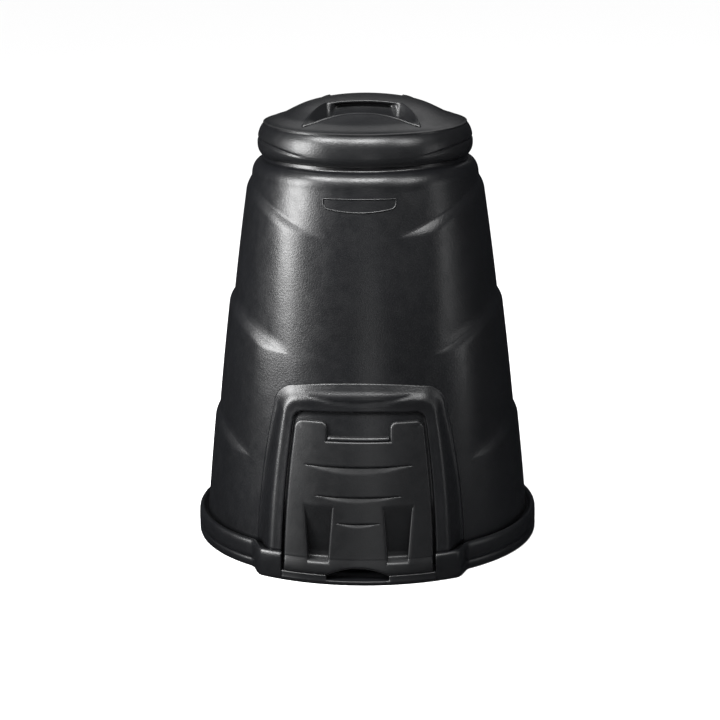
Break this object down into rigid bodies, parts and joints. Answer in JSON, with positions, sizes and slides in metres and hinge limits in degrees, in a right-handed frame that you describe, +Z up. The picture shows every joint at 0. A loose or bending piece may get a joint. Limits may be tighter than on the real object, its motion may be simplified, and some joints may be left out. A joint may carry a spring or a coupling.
{
  "type": "compost bin",
  "caption": "Tapered round garden compost bin with an open base, a lift-off domed lid with a moulded handle, and a lift-out hatch door at the foot.",
  "frame": {"origin": "middle of the footprint on the ground, so the drum's own axis stands 15 mm behind it", "axes": "+Z up, the hatch faces -Y, +X to the right when facing the hatch"},
  "size_m": [0.6998, 0.7299, 0.9],
  "materials": {
    "body_plastic": "black polyethylene, satin, fine moulded grain",
    "lid_plastic": "black polyethylene, satin, fine moulded grain",
    "door_plastic": "black polyethylene, satin, fine moulded grain"
  },
  "bodies": {
    "bin": {"bin_body": "body_plastic"},
    "lid": {"lid": "lid_plastic"},
    "hatch_door": {"hatch_door": "door_plastic"}
  },
  "joints": [
    {"name": "lid_lift", "type": "slide", "parent": "bin", "child": "lid", "axis": [0, 0, 1], "range_m": [0, 0.15]},
    {"name": "hatch_lift", "type": "slide", "parent": "bin", "child": "hatch_door", "axis": [0, -0.7071, 0.7071], "range_m": [0, 0.2]}
  ]
}
